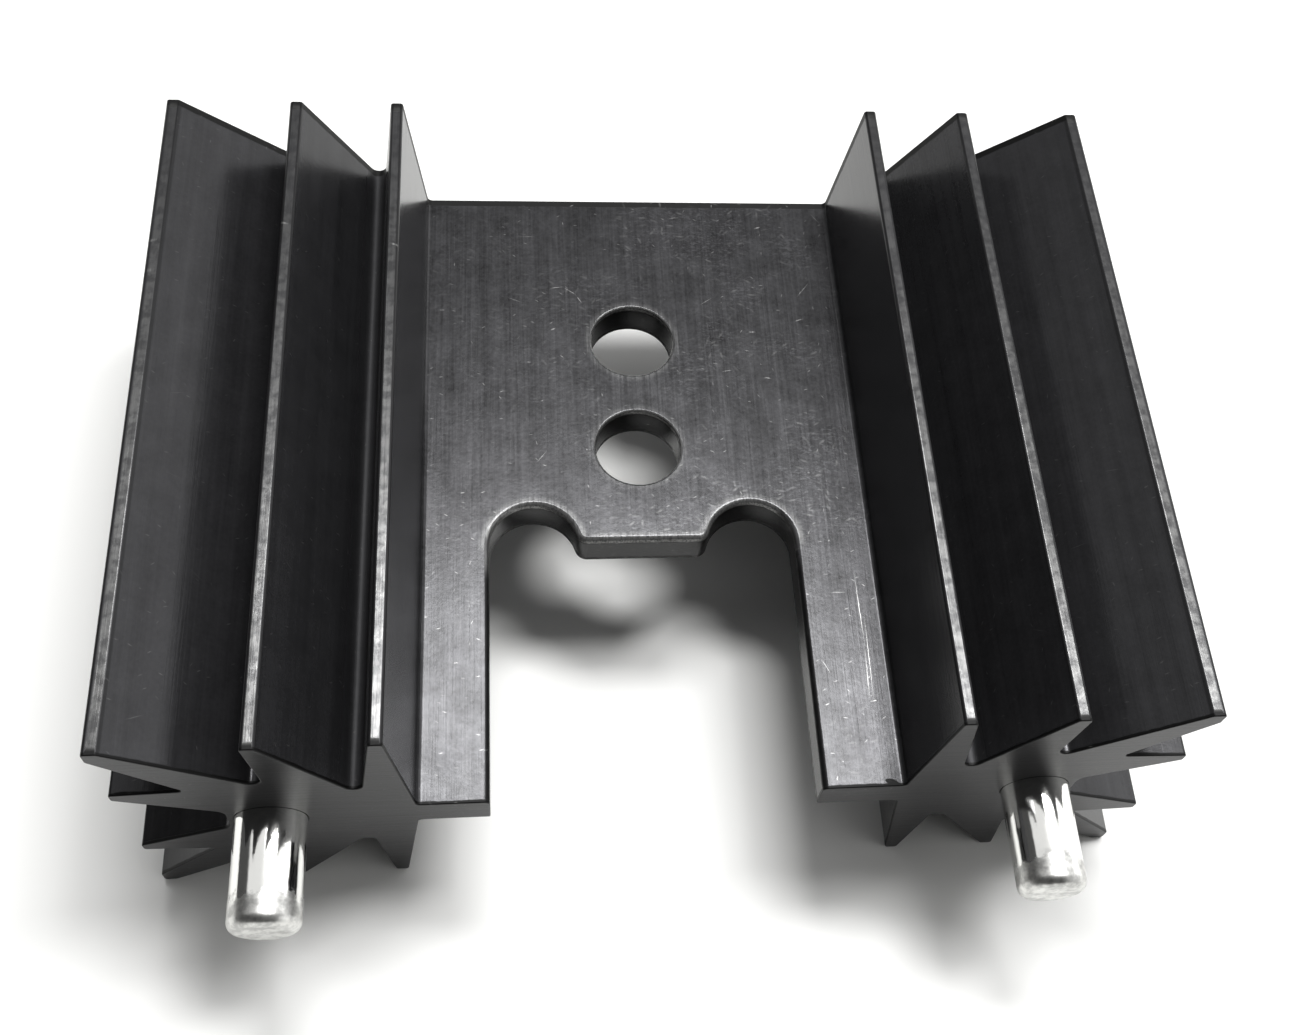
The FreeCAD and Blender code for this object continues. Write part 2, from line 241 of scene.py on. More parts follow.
# A Mix node has its factor at input 0 and a pair of inputs for each kind of value: 2 and 3 are its
# numbers, which leave at output 0, and 6 and 7 are its colours, which leave at output 2.
print("mid grey #808080 is", round(linear("#808080")[0], 3), "in linear light")

# %% [markdown]
# ## Black anodised aluminium
#
# The bar was pushed through a die, which drew fine lines along it, then sawn, punched and
# anodised. Anodising grows a thin hard oxide on the metal and dyes it black. The eye sees a satin
# black that keeps the lines of the die, mirrors softly at a flat angle, and shows light metal
# wherever an edge or a scratch has gone through the layer.
#
# The oxide is between a varnish and a metal: half of the shader is a very dark metal, and the other
# half is a dark pigment under a clear gloss. Worn places turn into plain light metal. All of it
# could be painted on a picture, but patterns worked out from real sizes stay sharp from close by.
# The material is built in this order: the marks of making, the places that wear, the scratches,
# and last the shader that reads them all.

# %% Lines that the die drew
anodised = bpy.data.materials.new("black_anodised_aluminium")
anodised.use_nodes = True
tree = anodised.node_tree
tree.nodes.clear()

# Object coordinates are metres in the frame of the CAD model, so the scale of a pattern is one
# over its real size.
where = add_node(tree, "TexCoord").outputs["Object"]

# Lines are 0.07 mm across and 4 mm long, and bands 0.45 mm across run on for 14 mm.
marks = {}
for name, width, length in (("lines", 0.07, 4.0), ("bands", 0.45, 14.0)):
    stretched = add_node(tree, "Mapping", {
        "Vector": where, "Scale": (1 / (width * MM), 1 / (length * MM), 1 / (width * MM))})
    marks[name] = add_node(tree, "TexNoise", {
        "Vector": stretched.outputs[0], "Scale": 1.0, "Detail": 2.0, "Roughness": 0.6}).outputs[0]
print("the die drew", " and ".join(marks))

# %% Etch and dye
# The etch before the dye leaves a tooth of about 0.05 mm, drawn at 0.15 mm here so that it shows.
# The dye takes in patches of about a millimetre, and handling has clouded wider ones.
for name, size, detail in (("tooth", 0.15, 2.0), ("patches", 1.1, 3.0), ("clouds", 3.0, 1.0)):
    marks[name] = add_node(tree, "TexNoise", {
        "Vector": where, "Scale": 1 / (size * MM), "Detail": detail, "Roughness": 0.6}).outputs[0]
    print(name + ":", size, "mm wide")

# %% Rubbing and sawing
# Rubbing leaves faint wisps across the die's lines, about 0.34 mm long and 0.13 mm wide.
crossing = add_node(tree, "Mapping", {
    "Vector": where, "Scale": (1 / (0.34 * MM), 1 / (0.13 * MM), 1 / (0.34 * MM))})
marks["wisps"] = add_node(tree, "TexNoise", {
    "Vector": crossing.outputs[0], "Scale": 1.0, "Detail": 3.0, "Roughness": 0.65,
    "Distortion": 1.5}).outputs[0]

# The saw leaves lines across the ends, 0.06 mm apart and 5 mm long, at 12 degrees to the web.
sawing = add_node(tree, "Mapping", {
    "Vector": where, "Rotation": (0, math.radians(12), 0),
    "Scale": (1 / (5.0 * MM), 1 / (5.0 * MM), 1 / (0.06 * MM))})
marks["saw"] = add_node(tree, "TexNoise", {
    "Vector": sawing.outputs[0], "Scale": 1.0, "Detail": 2.0, "Roughness": 0.6}).outputs[0]
print("the finish has", len(marks), "marks of its making:", ", ".join(marks))

# %% [markdown]
# ### Where the layer has worn
#
# Wear follows the shape: the tips of the fins, the rims that the punch pulled over and the sawn
# edges have all rubbed against other parts. It could be painted on by hand, but the part is cut to
# sizes that are known. So each place is a range of heights, widths or lengths in millimetres, a
# Map Range node marks it, and a little noise makes its limits ragged.

# %% Distances from the middle of the body
# A signed distance tells left from right. A plain one is the same on both sides, so that one
# limit marks the fins on the left and on the right.
low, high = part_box("finned_body")
middle = (low + high) / 2
from_middle = add_node(tree, "VectorMath", {0: where, 1: middle}, operation="SUBTRACT").outputs[0]
signed = add_node(tree, "SeparateXYZ", {0: from_middle}).outputs
folded = add_node(tree, "VectorMath", {0: from_middle}, operation="ABSOLUTE").outputs[0]
distance = add_node(tree, "SeparateXYZ", {0: folded}).outputs
print("the middle of the body is at", [round(side / MM, 2) for side in middle], "mm")

# %% Ragged limits
# Noise 0.35 mm across shifts a place by up to 0.025 mm either way, and a length along the bar by
# up to 0.08 mm.
SHIFT = 0.05 * MM
LENGTH_SHIFT = 0.16 * MM
wobble = add_node(tree, "TexNoise", {
    "Vector": where, "Scale": 1 / (0.35 * MM), "Detail": 3.0, "Roughness": 0.6}).outputs
shake = add_node(tree, "VectorMath", {
    0: wobble["Color"], 1: (-0.5, -0.5, -0.5)}, operation="ADD").outputs[0]
shifted = add_node(tree, "VectorMath", {0: shake, "Scale": SHIFT}, operation="SCALE").outputs[0]
ragged = add_node(tree, "VectorMath", {0: where, 1: shifted}, operation="ADD").outputs[0]
ragged_length = add_node(tree, "Math", {
    0: shake, 1: LENGTH_SHIFT, 2: distance["Y"]}, operation="MULTIPLY_ADD").outputs[0]
print("limits wander by", round(SHIFT / 2 / MM, 3), "mm either way")
print("and along the bar by", round(LENGTH_SHIFT / 2 / MM, 3), "mm")


# %% Mark a place by its limits
def all_of(*parts):
    """A mark that is full only where all its parts are: the parts multiplied."""
    joined = parts[0]
    for part in parts[1:]:
        joined = add_node(tree, "Math", {0: joined, 1: part}, operation="MULTIPLY").outputs[0]
    return joined


def place(*limits):
    """A mark from limits. Each is a length and the millimetres where the mark starts and is full."""
    return all_of(*[add_node(tree, "MapRange", {
        "Value": length, "From Min": start * MM, "From Max": full * MM},
        interpolation_type="SMOOTHSTEP").outputs[0] for length, start, full in limits])


# The web between the two inner fins, and the part of it that the slot and the holes lie in.
web = place((distance["X"], 8.40, 8.10))
punched = place((distance["X"], 6.30, 6.10), (distance["Y"], 12.62, 12.56))
print("half of the body's width, length and height:", [round(side / MM, 2) for side in middle - low])

# %% Worn fin tips, with a painted highlight and painted shade
# A face counts as level up to 6 degrees off, where its upward share is 0.995, and not at all from
# 14 degrees on.
facing = add_node(tree, "NewGeometry").outputs["Normal"]
upward = add_node(tree, "VectorMath", {0: facing}, operation="ABSOLUTE").outputs[0]
upward = add_node(tree, "SeparateXYZ", {0: upward}).outputs["Z"]
level = add_node(tree, "MapRange", {"Value": upward, "From Min": 0.970, "From Max": 0.995}).outputs[0]

# The flat tops of the fins show bare metal, and a painted highlight adds more of it towards the board
# end. Their rounded corners get painted shade. The wear stops short of the outermost corners and
# of the sawn ends.
tip_zone = place((distance["Z"], 6.25, 6.29))
tip_flats = all_of(tip_zone, level, place((distance["X"], 17.34, 17.26)))
tip_corner_shade = add_node(tree, "Math", {
    0: tip_zone, 1: level}, operation="SUBTRACT", use_clamp=True).outputs[0]
# The painted highlight: the tips' bare metal grows from a quarter of its share far off to all of it near
# the board end.
near_end_highlight = add_node(tree, "MapRange", {
    "Value": signed["Y"], "From Min": 11 * MM, "From Max": -5 * MM, "To Min": 0.25}).outputs[0]
tips = all_of(tip_flats, near_end_highlight, place((ragged_length, 12.58, 12.40)))
print("tips wear within 0.1 mm of a height of", round(middle.z / MM, 2), "mm from the middle")

# %% Sawn ends and their burr, with painted shade
# The saw turns up a dull burr along the last 0.1 mm of each face, and its dark colour is painted
# shade along the edge. The band is 0.12 mm wider on the fin tips and 0.20 mm wider on the far half.
sawn_face = place((distance["Y"], 12.692, 12.697))
far_half = place((signed["Y"], 0.0, 1.0))
burr_shade_length = ragged_length
for zone, wider in ((tip_flats, 0.12), (far_half, 0.20)):
    burr_shade_length = add_node(tree, "Math", {
        0: zone, 1: wider * MM, 2: burr_shade_length}, operation="MULTIPLY_ADD").outputs[0]
burr_and_its_shade = add_node(tree, "Math", {
    0: place((burr_shade_length, 12.56, 12.61)), 1: sawn_face},
    operation="SUBTRACT", use_clamp=True).outputs[0]

# The bottom of the gap between the inner and the middle fin stays dull too, but not on the sawn end.
gap_bottom = place(
    (distance["X"], 9.60, 9.75), (distance["X"], 10.50, 10.30),
    (distance["Z"], 3.00, 2.90), (distance["Z"], 2.40, 2.50))
gap_bottom = add_node(tree, "Math", {
    0: gap_bottom, 1: sawn_face}, operation="SUBTRACT", use_clamp=True).outputs[0]
print("the sawn ends lie", round((high.y - middle.y) / MM, 2), "mm from the middle")


# %% Rims that the punch rolled over
def any_of(*parts):
    """A mark that is as full as the fullest of its parts."""
    joined = parts[0]
    for part in parts[1:]:
        joined = add_node(tree, "Math", {0: joined, 1: part}, operation="MAXIMUM").outputs[0]
    return joined


# The web reaches 0.75 mm above the middle, and the punch drew its rims down by up to 0.2 mm. The
# rims shine round the holes and the inner end of the slot, and the slot's straight sides have a
# burr instead, with painted shade along it.
RIM_FOOT = 0.52
rim = all_of(punched, place((signed["Z"], RIM_FOOT, 0.58), (signed["Z"], 0.748, 0.738)))
rolled = all_of(rim, place((signed["Y"], -4.6, -3.4), (signed["X"], 5.15, 4.60)))
rim_burrs_and_shade = all_of(rim, place((signed["Y"], -3.6, -4.6)))
print("the rims start", RIM_FOOT, "mm above the middle of the web")

# %% Broken lines of painted shade where the punch cut
# One runs along the foot of each rolled rim and one along each lower edge, as painted shade in
# these creases, and the noise breaks them up.
broken = add_node(tree, "MapRange", {
    "Value": wobble[0], "From Min": 0.42, "From Max": 0.50, "To Min": 0.25}).outputs[0]
for start, full, end in ((0.47, 0.51, 0.68), (-0.75, -0.745, -0.52)):
    cut_line_shade = place((signed["Z"], start, full), (signed["Z"], end, end - 0.03))
    rim_burrs_and_shade = any_of(rim_burrs_and_shade, all_of(cut_line_shade, broken, punched))
    print("a cut line lies", start, "to", end, "mm above the middle of the web")

# %% Rims that rubbing has polished
# The straight edge between the slot's round corners comes first. Then each round corner and screw
# hole has a ring: its middle, its radius, all in millimetres, and how strongly it shines. A ring
# is full up to 0.22 mm outside its radius and ends at 0.44 mm.
ROUND_RIMS = (
    (-4.225, -1.35, 1.6, 1.0), (3.725, -1.35, 1.6, 1.0),
    (-0.25, 2.70, 1.5, 0.5), (-0.25, 7.55, 1.5, 0.8))
RING_FULL = 0.22
RING_END = 0.44
polished = place((signed["Y"], -2.70, -2.90), (distance["X"], 2.30, 2.00))
plan = add_node(tree, "VectorMath", {0: ragged, 1: (1.0, 1.0, 0.0)}, operation="MULTIPLY").outputs[0]
for x, y, radius, strength in ROUND_RIMS:
    away = add_node(tree, "VectorMath", {
        0: plan, 1: Vector((x, y, 0)) * MM}, operation="DISTANCE").outputs["Value"]
    ring = place((away, radius + RING_END, radius + RING_FULL))
    polished = any_of(polished, all_of(ring, strength))
polished = all_of(polished, place((signed["Y"], -3.6, -3.1), (signed["Z"], RIM_FOOT, 0.60)))
print(len(ROUND_RIMS), "round rims are polished")

# %% Walls that the punch cut
# The walls of the slot and the holes are even, without the marks of the die. Their darker
# colour is painted shade inside the slot and the holes.
even_walls_and_shade = all_of(punched, place((signed["Z"], 0.56, 0.50), (signed["Z"], -0.7495, -0.7485)))
print("the places and their limits take", len(tree.nodes), "nodes so far")

# %% [markdown]
# ### Flecks and scratches
#
# Handling leaves short light strokes. They could all be placed by hand, but there are far too many
# small ones, and the few large ones would look wrong if chance placed them. So the small ones come
# from Voronoi cells: each cell holds one point, and around it a short stroke is drawn in a
# direction of its own, flat on whatever face it lies on. Those that the eye picks out at once are
# placed one by one from a list.


# %% A stroke in each cell
def cell_strokes(cell, half_length, half_width, share):
    """Strokes round the points of cells so wide, in millimetres, in that share of the cells."""
    cells = add_node(tree, "TexVoronoi", {
        "Vector": where, "Scale": 1 / (cell * MM), "Randomness": 1.0}, feature="F1").outputs
    offset = add_node(tree, "VectorMath", {
        0: ragged, 1: cells["Position"]}, operation="SUBTRACT").outputs[0]

    # The cell's own colour gives the direction, and two cross products lay it flat on the face.
    lean = add_node(tree, "VectorMath", {
        0: cells["Color"], 1: (-0.5, -0.5, -0.5)}, operation="ADD").outputs[0]
    lean = add_node(tree, "VectorMath", {0: lean, 1: (1.6, 0.8, 1.0)}, operation="MULTIPLY").outputs[0]
    across = add_node(tree, "VectorMath", {0: facing, 1: lean}, operation="CROSS_PRODUCT").outputs[0]
    across = add_node(tree, "VectorMath", {0: across}, operation="NORMALIZE").outputs[0]
    along = add_node(tree, "VectorMath", {0: across, 1: facing}, operation="CROSS_PRODUCT").outputs[0]

    # How far a place is along and across the stroke, where 1 is the stroke's edge.
    reaches = []
    for direction, half_size in ((along, half_length), (across, half_width)):
        run = add_node(tree, "VectorMath", {
            0: offset, 1: direction}, operation="DOT_PRODUCT").outputs["Value"]
        reaches.append(add_node(tree, "Math", {
            0: run, 1: 1 / (half_size * MM)}, operation="MULTIPLY").outputs[0])
    reach = add_node(tree, "CombineXYZ", {0: reaches[0], 1: reaches[1]}).outputs[0]
    reach = add_node(tree, "VectorMath", {0: reach}, operation="LENGTH").outputs["Value"]
    stroke = add_node(tree, "MapRange", {"Value": reach, "From Min": 1.0, "From Max": 0.2}).outputs[0]

    # The colour's blue is the cell's luck. Its stroke shows only where that is under the share, and
    # shows more the lower it is.
    luck = add_node(tree, "SeparateColor", {0: cells["Color"]}).outputs["Blue"]
    kept = add_node(tree, "MapRange", {"Value": luck, "From Min": share, "From Max": 0.0}).outputs[0]
    print("a stroke of", 2 * half_length, "by", 2 * half_width, "mm lies in", share, "of the cells")
    return all_of(stroke, kept)


# %% Flecks that lie anywhere
# Cells 0.62 mm wide give many short flecks, wide ones a few long hairlines, and small ones blunt
# smudges nearly everywhere.
short_flecks = cell_strokes(cell=0.62, half_length=0.10, half_width=0.024, share=0.42)
hairlines = cell_strokes(cell=2.3, half_length=0.34, half_width=0.018, share=0.22)
smudges = cell_strokes(cell=0.50, half_length=0.20, half_width=0.060, share=0.90)

# %% Scratches placed one by one
# x, y, half length and half width in mm, the angle from +X in degrees, and the height in mm where
# it isn't the top of the web.
WEB_TOP = 7.1
FIN_TOP = 12.7
SCRATCHES = (
    (7.38, -4.2, 1.7, 0.022, 91), (7.36, -6.7, 1.1, 0.030, 88), (7.50, -6.0, 1.9, 0.016, 89),
    (7.45, -7.75, 0.14, 0.03, 10),
    (-3.12, 10.13, 0.30, 0.024, 8), (-2.60, 9.95, 0.32, 0.024, -38), (-2.25, 9.55, 0.24, 0.022, -60),
    (5.22, 13.21, 0.16, 0.04, 20), (1.79, 13.7, 0.22, 0.03, 5), (6.80, 10.03, 0.50, 0.022, 52),
    (6.5, 8.54, 0.2, 0.035, 20), (4.54, 7.96, 0.18, 0.03, 0), (3.39, 6.11, 0.22, 0.028, 8),
    (4.98, 5.77, 0.16, 0.03, -15), (-7.6, 9.03, 0.10, 0.04, 0), (-3.31, 8.12, 0.12, 0.035, 25),
    (-9.02, 7.84, 0.22, 0.06, -20, FIN_TOP), (-12.87, 8.76, 0.20, 0.06, -15, FIN_TOP),
    (-17.25, 7.96, 0.15, 0.08, 30, FIN_TOP), (-17.25, 6.65, 0.15, 0.10, 80, FIN_TOP),
)
print(len(SCRATCHES), "scratches are placed by hand")

# %% Draw the scratches
# A scratch reaches 0.3 mm above and below its height, so that it shows on that surface alone.
SCRATCH_DEPTH = 0.3


def reach_of_stroke(x, y, half_length, half_width, angle, height=WEB_TOP):
    """How far each place is from a stroke's middle, where 1 is the stroke's edge."""
    stroke = add_node(tree, "Mapping", {
        "Vector": ragged, "Location": Vector((x, y, height)) * MM,
        "Rotation": (0, 0, math.radians(angle)),
        "Scale": Vector((half_length, half_width, SCRATCH_DEPTH)) * MM}, vector_type="TEXTURE")
    return add_node(tree, "VectorMath", {0: stroke.outputs[0]}, operation="LENGTH").outputs["Value"]


# The nearest scratch counts. The search starts from a reach far past any scratch's edge.
nearest = 10.0
for scratch in SCRATCHES:
    nearest = add_node(tree, "Math", {
        0: reach_of_stroke(*scratch), 1: nearest}, operation="MINIMUM").outputs[0]
scratches = add_node(tree, "MapRange", {
    "Value": nearest, "From Min": 1.0, "From Max": 0.1}).outputs[0]
print("with the scratches, the body takes", len(tree.nodes), "nodes so far")

# %% A nick in the corner of the right leg
# x, y, half length, half width and angle, as for a scratch.
NICK = (7.72, -10.70, 0.24, 0.11, -20)
# The dent itself is not modelled; it is drawn as a dark spot of painted shade.
nick_shade = add_node(tree, "MapRange", {
    "Value": reach_of_stroke(*NICK), "From Min": 1.1, "From Max": 0.9}).outputs[0]
print("the nick is", 2 * NICK[2], "by", 2 * NICK[3], "mm")

# %% How much painted shade each edge gets
# The painted shade is full on the burr and the nick, nearly so on the rims, and half on the corners of
# the tips.
burrs_and_edge_shade = any_of(burr_and_its_shade, nick_shade, all_of(rim_burrs_and_shade, 0.85), all_of(tip_corner_shade, 0.51))
print("dark edges come from the burr, the nick, the rims and the corners of the tips")

# %% Where rubbing shows
# Rubbing skips the low lines of the die, and comes in beads along the fin tips.
patchy = add_node(tree, "MapRange", {
    "Value": marks["lines"], "From Min": 0.38, "From Max": 0.58, "To Min": 0.35}).outputs[0]
beads = add_node(tree, "MapRange", {
    "Value": wobble[0], "From Min": 0.40, "From Max": 0.60, "To Min": 0.30}).outputs[0]

# The web has been handled most, and on the web most of all its right half beyond the slot.
OFF_WEB = 0.35
on_web = add_node(tree, "MapRange", {"Value": web, "To Min": OFF_WEB}).outputs[0]
handled = place((signed["X"], -7.0, 3.0), (signed["Y"], -7.0, -2.0))
handled = add_node(tree, "MapRange", {"Value": handled, "To Min": 0.30}).outputs[0]
clouds = add_node(tree, "MapRange", {
    "Value": marks["clouds"], "From Min": 0.40, "From Max": 0.62},
    interpolation_type="SMOOTHSTEP").outputs[0]
clouded = all_of(clouds, web, handled)
print("off the web, flecks show at", OFF_WEB, "of their strength")

# %% How much bare metal shows
# Each kind of wear has a weight, which is the share of bare metal where it is strongest.
wear_and_highlight = any_of(
    # On the tips this share also holds the painted highlight towards the board end.
    all_of(tips, beads, 0.21),
    all_of(rolled, patchy, 0.40),
    all_of(polished, patchy, 0.11),
    all_of(short_flecks, on_web, 0.30),
    all_of(hairlines, on_web, 0.30),
    all_of(smudges, clouded, 0.13),
    all_of(scratches, patchy, 0.55))
print("wear and marks take", len(tree.nodes), "nodes so far")

# %% [markdown]
# ### The shader
#
# One Principled shader draws the whole body. It could be several shaders mixed by masks, but one
# whose colour, metal and roughness all follow the same masks is easier to keep right. First comes
# how light the black is, from 0 to 1, then the colours, then the gloss and the fine relief.

# %% How light the black is
# Each mark lightens and darkens around its middle value of 0.5, by its own weight.
shade = 0.0
for name, weight in (("lines", 0.32), ("patches", 0.90), ("tooth", 0.60)):
    centred = add_node(tree, "Math", {0: marks[name], 1: -0.5}, operation="ADD").outputs[0]
    shade = add_node(tree, "Math", {
        0: centred, 1: weight, 2: shade}, operation="MULTIPLY_ADD").outputs[0]
shade = all_of(shade, on_web)

# Wisps only lighten, where the web is clouded, and the bands run over everything.
wisps = add_node(tree, "MapRange", {
    "Value": marks["wisps"], "From Min": 0.50, "From Max": 0.68},
    interpolation_type="SMOOTHSTEP").outputs[0]
bands = add_node(tree, "Math", {0: marks["bands"], 1: -0.5}, operation="ADD").outputs[0]
for mark, weight in ((all_of(wisps, clouded), 0.55), (bands, 0.45)):
    shade = add_node(tree, "Math", {0: mark, 1: weight, 2: shade}, operation="MULTIPLY_ADD").outputs[0]

# The sawn ends have the saw's lines in place of all these, and are darker on the whole.
sawn_shade = add_node(tree, "Math", {
    0: marks["saw"], 1: 1.3, 2: -0.85}, operation="MULTIPLY_ADD").outputs[0]
shade = add_node(tree, "Mix", {0: sawn_face, 2: shade, 3: sawn_shade}).outputs[0]
shade = add_node(tree, "MapRange", {"Value": shade, "From Min": -0.5, "From Max": 0.5}).outputs[0]
print("the black is drawn from", len(marks), "marks")

# %% Colours of the layer and of the metal under it
# From the darkest dye to the lightest, then the walls' painted shade, the painted shade along burrs
# and edges, and the bare metal with the tips' painted highlight.
colour = linear("#09090a")
for amount, hex_colour in (
        (shade, "#424244"), (even_walls_and_shade, "#131314"), (burrs_and_edge_shade, "#060606"), (wear_and_highlight, "#b9b9b7")):
    colour = add_node(tree, "Mix", {
        0: amount, 6: colour, 7: linear(hex_colour)}, data_type="RGBA").outputs[2]
    print(hex_colour, "reflects", round(linear(hex_colour)[0], 4), "of the light")
metallic = add_node(tree, "MapRange", {"Value": wear_and_highlight, "To Min": 0.50}).outputs[0]

# %% Gloss and relief
# The layer is a satin gloss that follows the die's lines. Burrs, rims and the bottom of the gap
# are matt, and the sawn ends half way to that.
satin = add_node(tree, "MapRange", {
    "Value": marks["lines"], "From Min": 0.3, "From Max": 0.7, "To Min": 0.21, "To Max": 0.26})
matt = any_of(burrs_and_edge_shade, gap_bottom, all_of(sawn_face, 0.5))
roughness = add_node(tree, "Mix", {0: matt, 2: satin.outputs[0], 3: 0.50}).outputs[0]

# The tooth and the lines are about 0.01 mm deep.
RELIEF = 0.01 * MM
tooth_bump = add_node(tree, "Bump", {
    "Height": marks["tooth"], "Strength": 0.22, "Distance": RELIEF}).outputs[0]
drawn_or_sawn = add_node(tree, "Mix", {0: sawn_face, 2: marks["lines"], 3: marks["saw"]}).outputs[0]
relief = add_node(tree, "Bump", {
    "Height": drawn_or_sawn, "Strength": 0.30, "Distance": RELIEF, "Normal": tooth_bump}).outputs[0]
print("the relief is", round(RELIEF / MM, 3), "mm deep")

# %% Shader of the anodised body
shader = add_node(tree, "BsdfPrincipled", {
    "Base Color": colour, "Metallic": metallic, "Roughness": roughness,
    "Specular IOR Level": 0.3, "Normal": relief})
add_node(tree, "OutputMaterial", {"Surface": shader.outputs[0]})

body.data.materials.clear()
body.data.materials.append(anodised)
print(body.name, "is drawn with", len(tree.nodes), "nodes")

# %% [markdown]
# ## Bright tin on the solder pins
#
# The pins are brass or steel wire with a bright tin coat, so that solder takes to them. Fresh tin
# is almost a mirror, and the pin shows the fins and the light above it as stripes along its length.
# A plain chrome would look too perfect, so the coat has a faint ripple and the lines of the wire
# under it. The last millimetre was cut and tinned by itself and is duller.

# %% Ripple of the tin and lines of the wire
tin = bpy.data.materials.new("bright_tin_plate")
tin.use_nodes = True
tree = tin.node_tree
tree.nodes.clear()
where = add_node(tree, "TexCoord").outputs["Object"]

# The ripple is 0.5 mm across. The drawn wire has lines of 0.10 mm by 2.5 mm.
ripple = add_node(tree, "TexNoise", {
    "Vector": where, "Scale": 1 / (0.5 * MM), "Detail": 2.0}).outputs[0]
drawn = add_node(tree, "Mapping", {
    "Vector": where, "Scale": (1 / (0.10 * MM), 1 / (2.5 * MM), 1 / (0.10 * MM))}).outputs[0]
drawn = add_node(tree, "TexNoise", {"Vector": drawn, "Scale": 1.0, "Detail": 2.0}).outputs[0]
tin_relief = add_node(tree, "Bump", {
    "Height": ripple, "Strength": 0.3, "Distance": 0.02 * MM}).outputs[0]
tin_relief = add_node(tree, "Bump", {
    "Height": drawn, "Strength": 0.15, "Distance": 0.01 * MM, "Normal": tin_relief}).outputs[0]
print("the tin's relief takes", len(tree.nodes), "nodes")

# %% The dull end of a pin
# Mottling 0.35 mm across shades the dull end, and moves its ragged limit by up to 1.1 mm.
MOTTLE_SHIFT = 1.1 * MM
DULL_START = -12.88 * MM
DULL_FULL = -13.14 * MM
mottle = add_node(tree, "TexNoise", {
    "Vector": where, "Scale": 1 / (0.35 * MM), "Detail": 3.0, "Roughness": 0.6}).outputs[0]
pin_length = add_node(tree, "SeparateXYZ", {0: where}).outputs["Y"]
pin_length = add_node(tree, "Math", {
    0: mottle, 1: MOTTLE_SHIFT, 2: pin_length}, operation="MULTIPLY_ADD").outputs[0]
dull = add_node(tree, "MapRange", {
    "Value": pin_length, "From Min": DULL_START, "From Max": DULL_FULL},
    interpolation_type="SMOOTHSTEP").outputs[0]
dull_shade = add_node(tree, "MapRange", {"Value": mottle, "From Min": 0.38, "From Max": 0.60}).outputs[0]
dull_tin = add_node(tree, "Mix", {
    0: dull_shade, 6: linear("#a6a6a4"), 7: linear("#d4d4d1")}, data_type="RGBA").outputs[2]
print("with mottling at its middle value, the last",
      round((DULL_START - MOTTLE_SHIFT / 2 - PIN_TIP) / MM, 2), "mm of a pin are dull")

# %% Bright tin plate
tin_colour = add_node(tree, "Mix", {
    0: dull, 6: linear("#e8e8e5"), 7: dull_tin}, data_type="RGBA").outputs[2]
tin_roughness = add_node(tree, "MapRange", {"Value": dull, "To Min": 0.10, "To Max": 0.33}).outputs[0]
tin_shader = add_node(tree, "BsdfPrincipled", {
    "Base Color": tin_colour, "Metallic": 1.0, "Roughness": tin_roughness, "Normal": tin_relief})
add_node(tree, "OutputMaterial", {"Surface": tin_shader.outputs[0]})
for pin in pins.values():
    pin.data.materials.append(tin)
    print(pin.name, "is drawn with", len(tree.nodes), "nodes")

# %% [markdown]
# ## The floor
#
# The part lies on a plain pale floor. It could be a curved backdrop, but a flat sheet much larger
# than the part gives the same even white, and only the part's own shadows fall on it.

# %% Floor
# Matt white paper is rolled from pulp without a coat. It scatters light evenly, so the eye sees no
# reflection on it, only shadows.
bpy.ops.mesh.primitive_plane_add(size=3.0, location=(0, 0, 0))
floor = bpy.context.object
floor.name = "floor"
paper = bpy.data.materials.new("matt_white_paper")
paper.use_nodes = True
paper_shader = paper.node_tree.nodes["Principled BSDF"]
paper_shader.inputs["Base Color"].default_value = linear("#f2f2f0")
paper_shader.inputs["Roughness"].default_value = 0.9
floor.data.materials.append(paper)
print("the floor is", round(floor.dimensions.x, 2), "m wide")

# %% [markdown]
# ## The light
#
# Two soft lamps stand high over the part: one a little beyond it, and one to its right. Black
# metal mostly shows what it mirrors, though, and a room of one even grey would leave it lifeless.
# So the room is pale low down on the right, and darker overhead, on the left and straight ahead. A
# pale band lies just beyond the top of the room, and the pins mirror it as white stripes. The room
# could be built from white cards, but a few nodes on the sky do the same and are easier to tune.

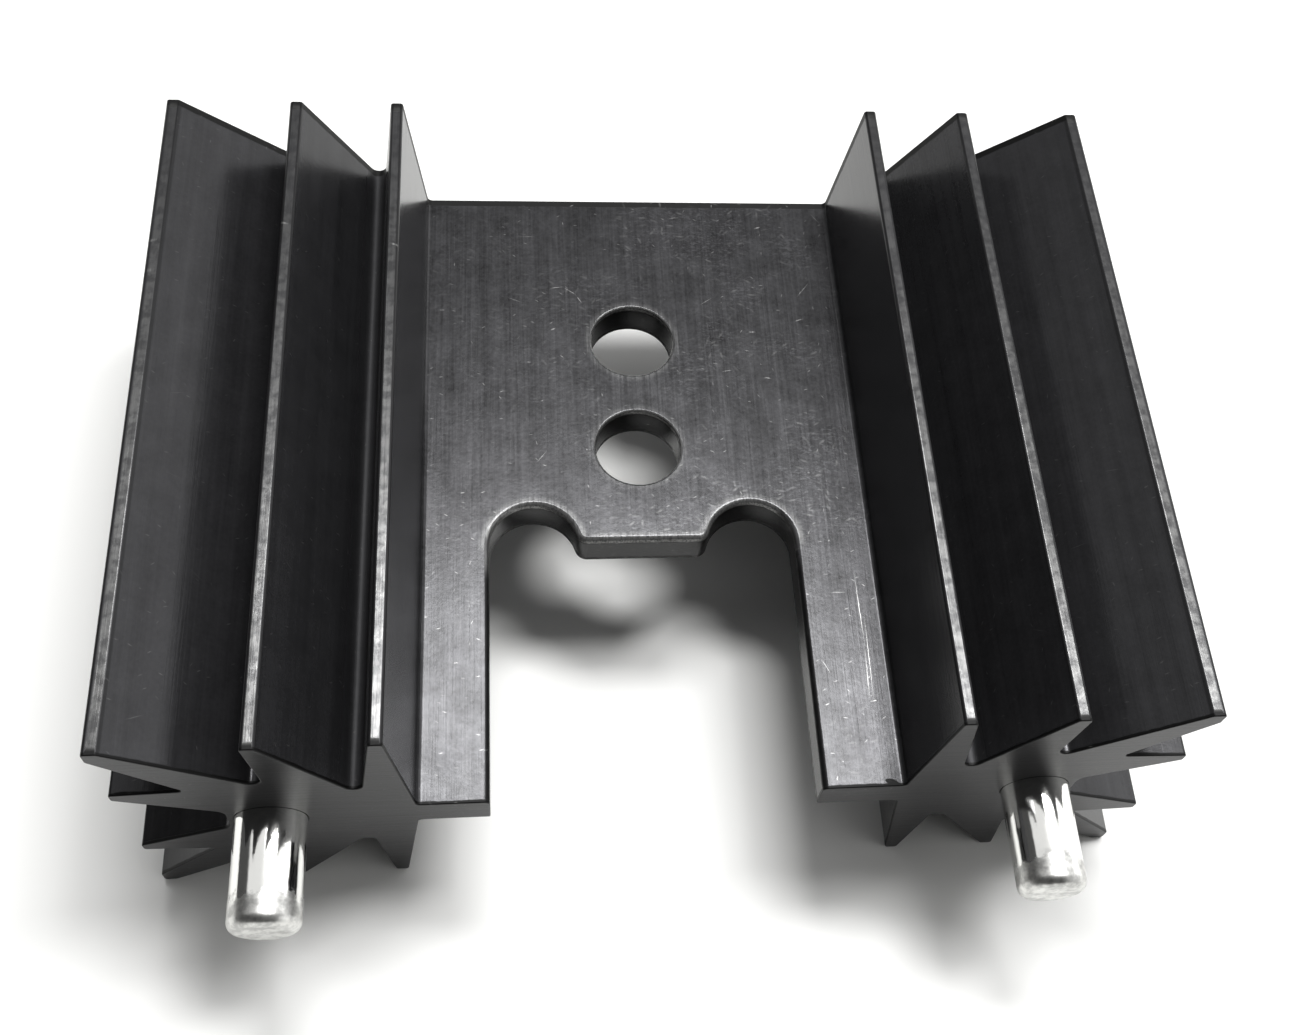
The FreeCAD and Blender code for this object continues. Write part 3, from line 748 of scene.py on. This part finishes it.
# %% Lamps
# Each lamp is an oval that looks at the part from 1 m off: its direction, its width and depth in
# metres and its power in watts.
LAMP_DISTANCE = 1.0
for name, lamp_way, wide, deep, power in (
        ("far_lamp", (0.07, 0.338, 0.938), 0.42, 0.20, 6.4),
        ("right_lamp", (0.345, 0.175, 0.922), 0.21, 0.36, 5.4)):
    lamp_data = bpy.data.lights.new(name, "AREA")
    lamp_data.shape = "ELLIPSE"
    lamp_data.size = wide
    lamp_data.size_y = deep
    lamp_data.energy = power
    lamp = bpy.data.objects.new(name, lamp_data)
    bpy.context.scene.collection.objects.link(lamp)
    lamp_way = Vector(lamp_way).normalized()
    lamp.location = lamp_way * LAMP_DISTANCE
    lamp.rotation_mode = "QUATERNION"
    lamp.rotation_quaternion = lamp_way.to_track_quat("Z", "Y")
    print(name, "stands", round(math.degrees(math.asin(lamp_way.z))), "degrees above the floor")

# %% Room
world = bpy.data.worlds.new("pale_room")
world.use_nodes = True
tree = world.node_tree
tree.nodes.clear()
way = add_node(tree, "TexCoord").outputs["Generated"]
heading = add_node(tree, "SeparateXYZ", {0: way}).outputs

# It glows low down on the right, but not straight ahead, with a strength of up to 1.8, and is
# nearly dark elsewhere.
low_down = add_node(tree, "MapRange", {
    "Value": heading["Z"], "From Min": 0.95, "From Max": 0.10}).outputs[0]
rightward = add_node(tree, "VectorMath", {
    0: way, 1: (0.8, 0.6, 0.0)}, operation="DOT_PRODUCT").outputs["Value"]
rightward = add_node(tree, "MapRange", {
    "Value": rightward, "From Min": -0.3, "From Max": 0.6},
    interpolation_type="SMOOTHSTEP").outputs[0]
not_ahead = add_node(tree, "MapRange", {
    "Value": heading["Y"], "From Min": 0.86, "From Max": 0.64, "To Min": 0.15}).outputs[0]
glow = add_node(tree, "MapRange", {
    "Value": all_of(low_down, rightward, not_ahead), "To Min": 0.08, "To Max": 1.8}).outputs[0]
print("the room's glow takes", len(tree.nodes), "nodes")

# %% A pale band that the pins mirror
# Its strength is 0.85 where all three limits are full, and the room's own glow is added to it.
band = 0.85
for axis, start, full in (("Y", 0.06, 0.18), ("Y", 0.80, 0.34), ("X", -0.79, -0.73)):
    limit = add_node(tree, "MapRange", {
        "Value": heading[axis], "From Min": start, "From Max": full}).outputs[0]
    band = all_of(limit, band)
strength = add_node(tree, "Math", {0: band, 1: glow}, operation="ADD").outputs[0]
room = add_node(tree, "Background", {"Color": linear("#ffffff"), "Strength": strength})
add_node(tree, "OutputWorld", {"Surface": room.outputs[0]})
bpy.context.scene.world = world
bpy.context.scene.view_settings.view_transform = "Standard"
print("the room is drawn with", len(tree.nodes), "nodes")
